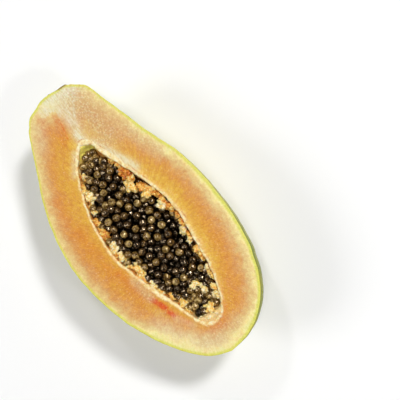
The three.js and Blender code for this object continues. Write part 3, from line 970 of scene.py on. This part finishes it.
def seed_material(name, gloss):
    """Wet seed coats: nearly black to olive brown, each seed with a tone of its own, painted darker
    as shade deep in the heap. The paler arcs are partly the clear jelly round the seed and partly
    painted light on its upper side; the darker band round its sides is painted shade. gloss is the
    coat's refractive index."""
    surface = Surface(name, IOR=gloss, Specular_Tint=(1, 0.77, 0.5, 1))
    place = surface.place()
    tone_and_shade = surface.attribute("tone_and_shade")
    clouds = surface.noise(place, 1.6, 3, 0.6, 0.8)
    # paler arcs, partly jelly and partly painted light, and below 0 painted shade round the seed's
    # sides
    jelly_light_and_shade = surface.times(surface.attribute("jelly_light_and_shade"), surface.span(clouds, 0.4, 0.6, 0.6, 1.2))
    specks = surface.noise(place, 0.9, 3, 0.7)
    lights = surface.plus(surface.span(specks, 0.35, 0.65, 0.42, 0.8), surface.times(jelly_light_and_shade, 0.72))
    # the seed's own tone and the painted shade deep in the heap, times its specks, jelly arcs and
    # painted light and shade
    tone = surface.times(tone_and_shade, lights)
    base = surface.ramp(tone, [(0.0, "030201"), (0.15, "160b04"), (0.30, "34200b"),
                               (0.50, "6a4b20"), (0.75, "a88440"), (1.0, "dec07c")])
    veins = surface.span(surface.cells(place, 1.5), 0.15, 0.6)
    base = surface.mix(surface.times(veins, 0.5), base, "0b0703")
    normal = surface.bump(veins, 0.12 * MM, 0.7)
    normal = surface.bump(specks, 0.05 * MM, 0.5, normal)
    normal = surface.bump(clouds, 0.3 * MM, 0.5, normal)
    roughness = surface.span(clouds, 0.3, 0.7, 0.08, 0.16)
    return surface.finish(base, roughness, normal)


def floor_material():
    surface = Surface("pale_floor", Roughness=0.6)
    return surface.finish((0.95, 0.95, 0.95, 1))


def stroke(x, y, points, reach):
    """1 along a line of points, fading out over its reach, in millimetres."""
    nearest = np.full(len(x), 1e9)
    for (x0, y0), (x1, y1) in zip(points, points[1:]):
        dx, dy = x1 - x0, y1 - y0
        along = np.clip(((x - x0) * dx + (y - y0) * dy) / (dx * dx + dy * dy), 0, 1)
        nearest = np.minimum(nearest, np.hypot(x - x0 - along * dx, y - y0 - along * dy))
    return np.exp(-(nearest / reach) ** 2)


def paint_face(piece):
    """Where the large patches of colour are, one value at each point of the mesh."""
    mesh = piece.data
    count = len(mesh.vertices)
    co = np.empty(count * 3)
    mesh.vertices.foreach_get("co", co)
    co = co.reshape(-1, 3)
    x, y = co[:, :2].T / MM
    share = np.empty(count)
    mesh.attributes["share"].data.foreach_get("value", share)

    far_side = smooth_step(-30, 25, y)
    ripeness = share ** (0.85 + 0.05 * far_side) + (1 - far_side) * 0.07 * (1 - share)
    golden = far_side * smooth_step(75, 40, x)
    ripeness -= 0.18 * (1 - golden) * smooth_step(0.45, 0.85, share)
    ripeness *= 1 - 0.5 * smooth_step(-70, -108, x) * smooth_step(-12, -2, y)
    ripeness -= 0.055 * far_side * smooth_step(75, 40, abs(x)) * smooth_step(0.34, 0.12, share)
    blossom = smooth_step(72, 100, x - 0.55 * y)
    ripeness += blossom * (0.75 * share ** 1.5 - ripeness)

    painted = {"ripeness": ripeness}
    for name, strokes in STROKES.items():
        painted[name] = np.zeros(count)
        for points, reach, strength in strokes:
            painted[name] = np.maximum(painted[name], strength * stroke(x, y, points, reach))
    edge_x, edge_y = np.transpose(CORE_EDGE)
    beyond_edge = smooth_step(-0.5, 0.5, y - np.interp(x, edge_x, edge_y))
    painted["core"] *= np.where((x > edge_x[0]) & (x < edge_x[-1]), beyond_edge, 1)
    painted["lip"] = LIP_WIDTH + 0.5 * far_side + 3.2 * painted.pop("wide_lip")
    painted["green"] = smooth_step(-20, 70, x) * smooth_step(5, 40, y)
    # the stem end of the cavity's wall, painted paler: partly its colour, partly painted light
    painted["tip_colour_and_light"] = smooth_step(-56, -64, x)
    painted["end"] = smooth_step(72, 80, x)
    painted["scar"] = smooth_step(1.2, 0.95, scar_reach(co)) * (x < -95)
    for name, values in painted.items():
        set_attribute(mesh, name, values)


# ---- stage, light and camera ----

def add_floor():
    mesh = bpy.data.meshes.new("floor")
    corners = np.array([(-1, -1, 0), (1, -1, 0), (1, 1, 0), (-1, 1, 0)]) * FLOOR_REACH
    mesh.from_pydata(corners, [], [(0, 1, 2, 3)])
    mesh.materials.append(floor_material())
    floor = bpy.data.objects.new("floor", mesh)
    bpy.context.scene.collection.objects.link(floor)


def add_light(name, place, power, size=None, angle=None):
    """A light that faces the middle of the fruit: a square one of a size, in metres, or a broad
    distant one that spans an angle of the sky, in degrees."""
    light = bpy.data.lights.new(name, "AREA" if size else "SUN")
    light.energy = power
    if size:
        light.size = size
    else:
        light.angle = math.radians(angle)
    lamp = bpy.data.objects.new(name, light)
    lamp.location = place
    way = Vector((0, 0, TOP / 2)) - Vector(place)
    lamp.rotation_euler = way.to_track_quat("-Z", "Y").to_euler()
    bpy.context.scene.collection.objects.link(lamp)


def light_scene():
    """Three broad distant lights, two small square ones that glint on the seeds, and a sky that is
    dark overhead, so that nothing glossy mirrors it."""
    add_light("key", (-0.12, 0.8, 1.0), 1.66, angle=9)
    add_light("top_fill", (0.15, 0.1, 1.5), 0.72, angle=15)
    add_light("low_fill", (-0.5, -0.9, 0.9), 0.85, angle=22)
    add_light("key_left", (-0.75, 0.3, 1.0), 2, size=0.12)
    add_light("key_right", (0.7, 0.45, 1.0), 2, size=0.12)
    world = bpy.data.worlds.new("studio")
    world.use_nodes = True
    nodes, links = world.node_tree.nodes, world.node_tree.links
    split = nodes.new("ShaderNodeSeparateXYZ")
    links.new(nodes.new("ShaderNodeTexCoord").outputs["Generated"], split.inputs["Vector"])
    fade = nodes.new("ShaderNodeMapRange")
    fade.interpolation_type = "SMOOTHSTEP"
    for socket, value in (("From Min", 0.0), ("From Max", SKY_FADE), ("To Min", HORIZON_LIGHT),
                          ("To Max", OVERHEAD_LIGHT)):
        fade.inputs[socket].default_value = value
    links.new(split.outputs["Z"], fade.inputs["Value"])
    background = nodes["Background"]
    background.inputs["Color"].default_value = (1, 1, 1, 1)
    links.new(fade.outputs["Result"], background.inputs["Strength"])
    bpy.context.scene.world = world
    bpy.context.scene.view_settings.view_transform = "Standard"


def add_camera():
    """The photograph's view: nearly straight down on the cut face, tilted towards picture right."""
    right = Vector((math.cos(LONG_AXIS_TURN), math.sin(LONG_AXIS_TURN), 0))
    up = Vector((-right.y, right.x, 0))
    back = Vector((0, 0, 1))
    tilt = Matrix.Rotation(VIEW_TILT, 3, up)
    axes = [tilt @ axis for axis in (right, up, back)]
    distance = PIXEL_AT_FACE * LENS / SENSOR * PHOTO_SIDE
    camera = bpy.data.cameras.new("camera")
    camera.lens = LENS
    camera.sensor_width = SENSOR
    camera.clip_start = 0.01
    viewer = bpy.data.objects.new("camera", camera)
    turn = Matrix(axes).transposed().to_4x4()
    viewer.matrix_world = Matrix.Translation(AIM + axes[2] * distance) @ turn
    bpy.context.scene.collection.objects.link(viewer)
    bpy.context.scene.camera = viewer


# ---- the scene ----

add_camera()
light_scene()
add_floor()
fruit_piece, wall = build_fruit(*fruit_rims())
paint_face(fruit_piece)
build_pulp()
build_seeds(wall)

bpy.context.view_layer.update()
